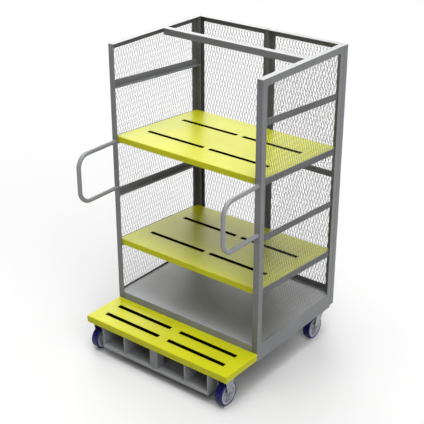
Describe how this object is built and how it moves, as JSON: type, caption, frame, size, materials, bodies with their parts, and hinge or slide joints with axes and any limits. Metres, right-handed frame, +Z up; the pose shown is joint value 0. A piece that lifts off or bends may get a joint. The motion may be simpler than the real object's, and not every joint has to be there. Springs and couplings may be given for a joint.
{
  "type": "order picking trolley",
  "caption": "Tall steel trolley with expanded-mesh sides and back, sloping lift-out shelves on angle ledges, a step in front, rubber grip strips, fork pockets, side handles and castors.",
  "frame": {"origin": "on the floor, at the middle of the overall plan", "axes": "+Z up, -Y towards the step and handles in front, +X to the right seen from the front"},
  "size_m": [1.1, 1.1705, 1.925],
  "materials": {
    "grey_coat": "satin powder coat",
    "mesh_coat": "satin powder coat",
    "handle_coat": "smooth powder coat",
    "yellow_coat": "satin powder coat",
    "black_rubber": "ribbed grip strip",
    "blue_tyre": "smooth polyurethane",
    "wheel_centre": "moulded",
    "castor_zinc": "zinc plated",
    "zinc_fastener": "zinc plated"
  },
  "bodies": {
    "cart": {"back_left_inner_stile": "grey_coat", "back_left_net": "mesh_coat", "back_left_outer_stile": "grey_coat", "back_left_top_rail": "grey_coat", "back_low_rails": "grey_coat", "back_mid_rails": "grey_coat", "back_right_inner_stile": "grey_coat", "back_right_net": "mesh_coat", "back_right_outer_stile": "grey_coat", "back_right_top_rail": "grey_coat", "base_centre_post": "grey_coat", "base_tray": "grey_coat", "castor_bolts": "zinc_fastener", "deck_bearers": "grey_coat", "deck_plate": "grey_coat", "front_left_axle": "zinc_fastener", "front_left_bracket": "castor_zinc", "front_right_axle": "zinc_fastener", "front_right_bracket": "castor_zinc", "inner_pocket_walls": "grey_coat", "ledge_pair_1": "grey_coat", "ledge_pair_2": "grey_coat", "ledge_pair_3": "grey_coat", "ledge_pair_4": "grey_coat", "left_front_post": "grey_coat", "left_handle": "handle_coat", "left_net": "mesh_coat", "left_rear_post": "grey_coat", "left_top_rail": "grey_coat", "outer_pocket_walls": "grey_coat", "rear_left_plate": "castor_zinc", "rear_left_swivel_bearing": "castor_zinc", "rear_right_plate": "castor_zinc", "rear_right_swivel_bearing": "castor_zinc", "right_front_post": "grey_coat", "right_handle": "handle_coat", "right_net": "mesh_coat", "right_rear_post": "grey_coat", "right_top_rail": "grey_coat", "side_skirts": "grey_coat", "step_rails": "grey_coat", "step_strips": "black_rubber", "step_tread": "yellow_coat", "top_tie_bar": "grey_coat"},
    "lower_shelf": {"lower_shelf": "yellow_coat", "lower_shelf_strips": "black_rubber"},
    "upper_shelf": {"upper_shelf": "yellow_coat", "upper_shelf_strips": "black_rubber"},
    "rear_left_swivel": {"rear_left_fork": "castor_zinc", "rear_left_axle": "zinc_fastener"},
    "front_left_wheel": {"front_left_rim": "wheel_centre", "front_left_tyre": "blue_tyre"},
    "rear_left_wheel": {"rear_left_rim": "wheel_centre", "rear_left_tyre": "blue_tyre"},
    "rear_right_swivel": {"rear_right_fork": "castor_zinc", "rear_right_axle": "zinc_fastener"},
    "front_right_wheel": {"front_right_rim": "wheel_centre", "front_right_tyre": "blue_tyre"},
    "rear_right_wheel": {"rear_right_rim": "wheel_centre", "rear_right_tyre": "blue_tyre"}
  },
  "joints": [
    {"name": "lower_shelf_lift", "type": "slide", "parent": "cart", "child": "lower_shelf", "axis": [0, 0, 1], "range_m": [0, 0.28]},
    {"name": "upper_shelf_lift", "type": "slide", "parent": "cart", "child": "upper_shelf", "axis": [0, 0, 1], "range_m": [0, 0.28]},
    {"name": "rear_left_swivel_turn", "type": "hinge", "parent": "cart", "child": "rear_left_swivel", "pos_m": [-0.493, 0.47125, 0.183], "axis": [0, 0, 1], "continuous": true},
    {"name": "front_left_wheel_spin", "type": "hinge", "parent": "cart", "child": "front_left_wheel", "pos_m": [-0.493, -0.48975, 0.075], "axis": [1, 0, 0], "continuous": true},
    {"name": "rear_left_wheel_spin", "type": "hinge", "parent": "rear_left_swivel", "child": "rear_left_wheel", "pos_m": [-0.493, 0.43125, 0.075], "axis": [1, 0, 0], "continuous": true},
    {"name": "rear_right_swivel_turn", "type": "hinge", "parent": "cart", "child": "rear_right_swivel", "pos_m": [0.493, 0.47125, 0.183], "axis": [0, 0, 1], "continuous": true},
    {"name": "front_right_wheel_spin", "type": "hinge", "parent": "cart", "child": "front_right_wheel", "pos_m": [0.493, -0.48975, 0.075], "axis": [1, 0, 0], "continuous": true},
    {"name": "rear_right_wheel_spin", "type": "hinge", "parent": "rear_right_swivel", "child": "rear_right_wheel", "pos_m": [0.493, 0.43125, 0.075], "axis": [1, 0, 0], "continuous": true}
  ]
}
